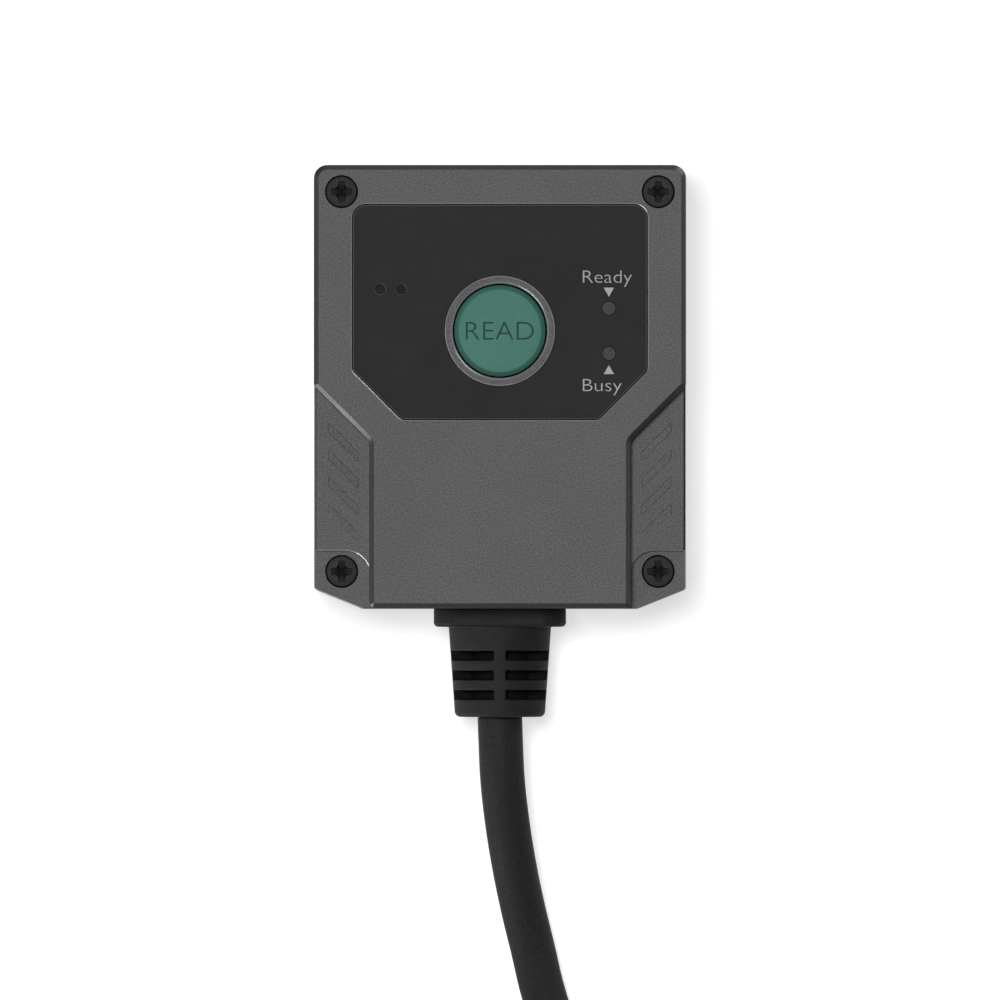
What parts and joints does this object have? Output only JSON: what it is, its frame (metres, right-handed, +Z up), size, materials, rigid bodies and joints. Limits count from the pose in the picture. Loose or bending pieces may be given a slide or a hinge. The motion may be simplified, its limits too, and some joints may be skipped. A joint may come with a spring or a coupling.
{
  "type": "fixed barcode reader",
  "caption": "Compact fixed-mount barcode reader with a front scan window, a top push button, status lamps and a cable ending in a plug.",
  "frame": {"origin": "middle of the housing's base", "axes": "+Y towards the scan window, +Z up out of the button face, cable leaves at -Y"},
  "size_m": [0.0708, 0.1735, 0.0243],
  "materials": {
    "housing_paint": "fine textured paint",
    "panel": "smooth printed film",
    "button_green": "satin",
    "lamp": "smoked clear",
    "black_steel": "black oxide",
    "plated_steel": "plated",
    "brass": "turned",
    "window": "hard coated",
    "lens_glass": "coated",
    "seal_rubber": "soft",
    "cable_rubber": "satin",
    "black_plastic": "moulded",
    "white_plastic": "moulded",
    "circuit_board": "solder mask",
    "flex_film": "film",
    "wire_sleeve": "sleeve"
  },
  "bodies": {
    "housing": {"lower_case": "housing_paint", "top_cover": "housing_paint", "label_panel": "panel", "cover_screws": "black_steel", "cover_inserts": "brass", "base_inserts": "brass", "scan_window": "window", "window_seal": "seal_rubber", "case_seal": "seal_rubber", "upper_light_pipe": "lamp", "lower_light_pipe": "lamp", "main_board": "circuit_board", "board_screws": "plated_steel", "main_chip": "black_plastic", "tact_switch": "black_plastic", "beeper": "black_plastic", "status_leds": "white_plastic", "engine_frame": "black_plastic", "engine_screws": "plated_steel", "engine_board": "circuit_board", "engine_board_screws": "plated_steel", "lens_barrel": "black_plastic", "camera_lens": "lens_glass", "illumination_leds": "white_plastic", "aimer_lens": "lens_glass", "flex_sockets": "white_plastic", "engine_flex": "flex_film", "cable_socket": "white_plastic", "cable_plug": "white_plastic", "lead_wires": "wire_sleeve", "cable_boot": "cable_rubber", "cable": "cable_rubber", "cable_coil": "cable_rubber", "cable_tail": "cable_rubber", "cable_tie": "black_plastic", "plug_body": "cable_rubber", "plug_shell": "plated_steel", "plug_tongue": "white_plastic", "plug_contacts": "brass"},
    "button": {"scan_button": "button_green", "switch_plunger": "black_plastic"}
  },
  "joints": [
    {"name": "button_press", "type": "slide", "parent": "housing", "child": "button", "axis": [0, 0, -1], "range_m": [0, 0.0005], "stiffness_N_per_m": 800, "springref_m": -0.001}
  ]
}
